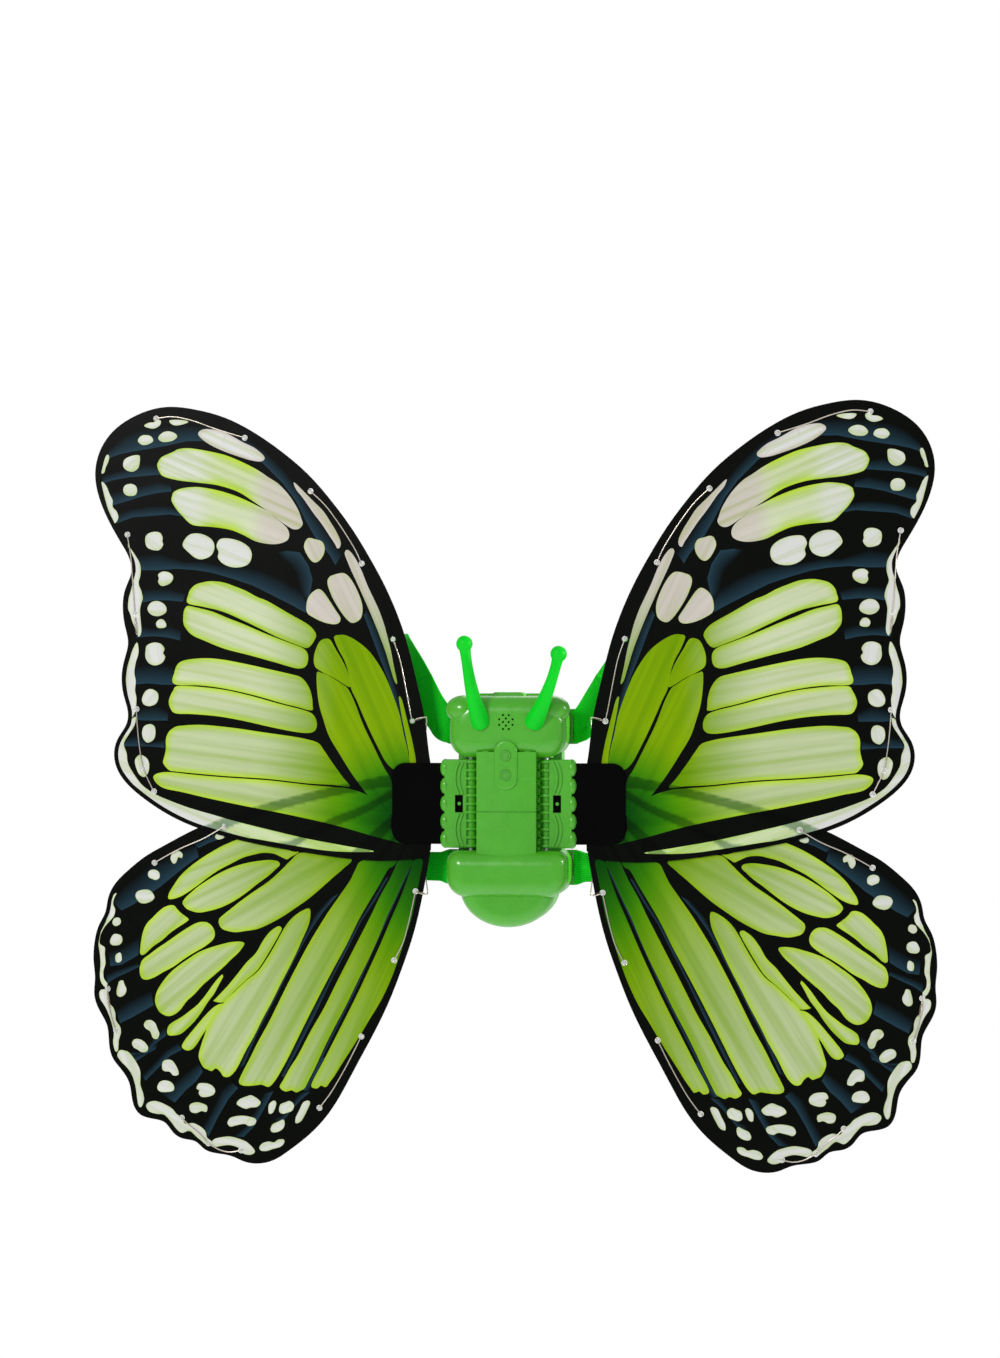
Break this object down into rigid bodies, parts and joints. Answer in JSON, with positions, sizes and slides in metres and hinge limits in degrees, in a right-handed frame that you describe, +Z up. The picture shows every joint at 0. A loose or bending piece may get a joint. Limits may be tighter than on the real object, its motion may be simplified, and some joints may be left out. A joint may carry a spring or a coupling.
{
  "type": "wearable flapping wings",
  "caption": "Battery-driven flapping butterfly wings worn on the back by two shoulder loops, with a bug-shaped case, light strings and push buttons.",
  "frame": {"origin": "middle of the flat back face of the case, which rests on the wearer", "axes": "+Z up along the wearer's back, +Y out of the back face towards the wearer, +X to the right as seen from behind the wearer"},
  "size_m": [0.5862, 0.1865, 0.5276],
  "materials": {
    "case_green": "moulded, glossy",
    "antenna_green": "soft moulded plastic, satin",
    "button_green": "moulded, dimpled caps",
    "steel": "drawn, plated",
    "cell_wrap": "plain printed sleeve",
    "spring_steel": "nickel plated",
    "board": "bare phenolic board",
    "board_parts": "moulded",
    "speaker_metal": "pressed",
    "speaker_paper": "pulp cone",
    "frame_plastic": "moulded",
    "motor_steel": "drawn can",
    "motor_cap": "moulded",
    "gear_plastic": "moulded, natural",
    "brass": "turned",
    "clamp_black": "moulded, fine grain",
    "wing_film": "thin printed film, slightly see-through",
    "light_bead": "clear cast drops",
    "light_wire": "bare thin wire",
    "strap_webbing": "woven elastic webbing"
  },
  "bodies": {
    "case": {"front_cover": "case_green", "rear_cover": "case_green", "case_screws": "steel", "battery_cells": "cell_wrap", "battery_contacts": "spring_steel", "eye_left": "case_green", "eye_right": "case_green", "antenna_left": "antenna_green", "antenna_right": "antenna_green", "circuit_board": "board", "board_components": "board_parts", "speaker_basket": "speaker_metal", "speaker_cone": "speaker_paper", "gear_frame": "frame_plastic", "rack_guide": "frame_plastic", "gear_pins": "steel", "motor_can": "motor_steel", "motor_end_cap": "motor_cap", "hinge_bushes": "brass", "shoulder_strap_left": "strap_webbing", "shoulder_strap_right": "strap_webbing"},
    "door": {"battery_door": "case_green", "battery_door_screw": "steel"},
    "music_key": {"music_button": "button_green"},
    "wing_key": {"wing_button": "button_green"},
    "pinion": {"motor_pinion": "brass"},
    "gear_one": {"first_gear": "gear_plastic"},
    "gear_two": {"second_gear": "gear_plastic"},
    "crank": {"crank_gear": "gear_plastic"},
    "rack": {"drive_rack": "gear_plastic"},
    "left_wing": {"sector_gear_left": "gear_plastic", "wing_arm_left": "case_green", "latch_pin_left": "case_green", "hinge_pin_left": "steel", "clamp_front_left": "clamp_black", "clamp_shim_left": "clamp_black", "clamp_rear_left": "clamp_black", "clamp_rivets_left": "brass", "upper_wing_left": "wing_film", "lower_wing_left": "wing_film", "upper_light_beads_left": "light_bead", "lower_light_beads_left": "light_bead", "upper_light_wire_left": "light_wire", "lower_light_wire_left": "light_wire"},
    "right_wing": {"sector_gear_right": "gear_plastic", "wing_arm_right": "case_green", "latch_pin_right": "case_green", "hinge_pin_right": "steel", "clamp_front_right": "clamp_black", "clamp_shim_right": "clamp_black", "clamp_rear_right": "clamp_black", "clamp_rivets_right": "brass", "upper_wing_right": "wing_film", "lower_wing_right": "wing_film", "upper_light_beads_right": "light_bead", "lower_light_beads_right": "light_bead", "upper_light_wire_right": "light_wire", "lower_light_wire_right": "light_wire"}
  },
  "joints": [
    {"name": "left_wing_flap", "type": "hinge", "parent": "case", "child": "left_wing", "pos_m": [-0.026, -0.03, 0], "axis": [0, 0, 1], "range_deg": [-8, 28]},
    {"name": "right_wing_flap", "type": "hinge", "parent": "case", "child": "right_wing", "pos_m": [0.026, -0.03, 0], "axis": [0, 0, -1], "range_deg": [-8, 28]},
    {"name": "rack_slide", "type": "slide", "parent": "case", "child": "rack", "axis": [0, 1, 0], "range_m": [-0.00228, 0.00787]},
    {"name": "crank_spin", "type": "hinge", "parent": "case", "child": "crank", "pos_m": [0, -0.03, -0.046], "axis": [0, 0, 1], "continuous": true},
    {"name": "second_gear_spin", "type": "hinge", "parent": "case", "child": "gear_two", "pos_m": [0.012, -0.03, -0.048], "axis": [0, 0, 1], "continuous": true},
    {"name": "first_gear_spin", "type": "hinge", "parent": "case", "child": "gear_one", "pos_m": [0.012, -0.018, -0.051], "axis": [0, 0, 1], "continuous": true},
    {"name": "motor_spin", "type": "hinge", "parent": "case", "child": "pinion", "pos_m": [0, -0.018, -0.051], "axis": [0, 0, 1], "continuous": true},
    {"name": "music_button_press", "type": "slide", "parent": "case", "child": "music_key", "axis": [0, 1, 0], "range_m": [0, 0.0008], "stiffness_N_per_m": 300, "springref_m": -0.002},
    {"name": "wing_button_press", "type": "slide", "parent": "case", "child": "wing_key", "axis": [0, 1, 0], "range_m": [0, 0.0008], "stiffness_N_per_m": 300, "springref_m": -0.002},
    {"name": "battery_door_lift", "type": "slide", "parent": "case", "child": "door", "axis": [0, 1, 0], "range_m": [0, 0.02]}
  ],
  "couplings": [
    {"joint": "right_wing_flap", "follows": "left_wing_flap", "ratio": 1},
    {"joint": "rack_slide", "follows": "left_wing_flap", "m_per_rad": 0.016},
    {"joint": "second_gear_spin", "follows": "crank_spin", "ratio": -3},
    {"joint": "first_gear_spin", "follows": "crank_spin", "ratio": 9},
    {"joint": "motor_spin", "follows": "crank_spin", "ratio": -27}
  ]
}
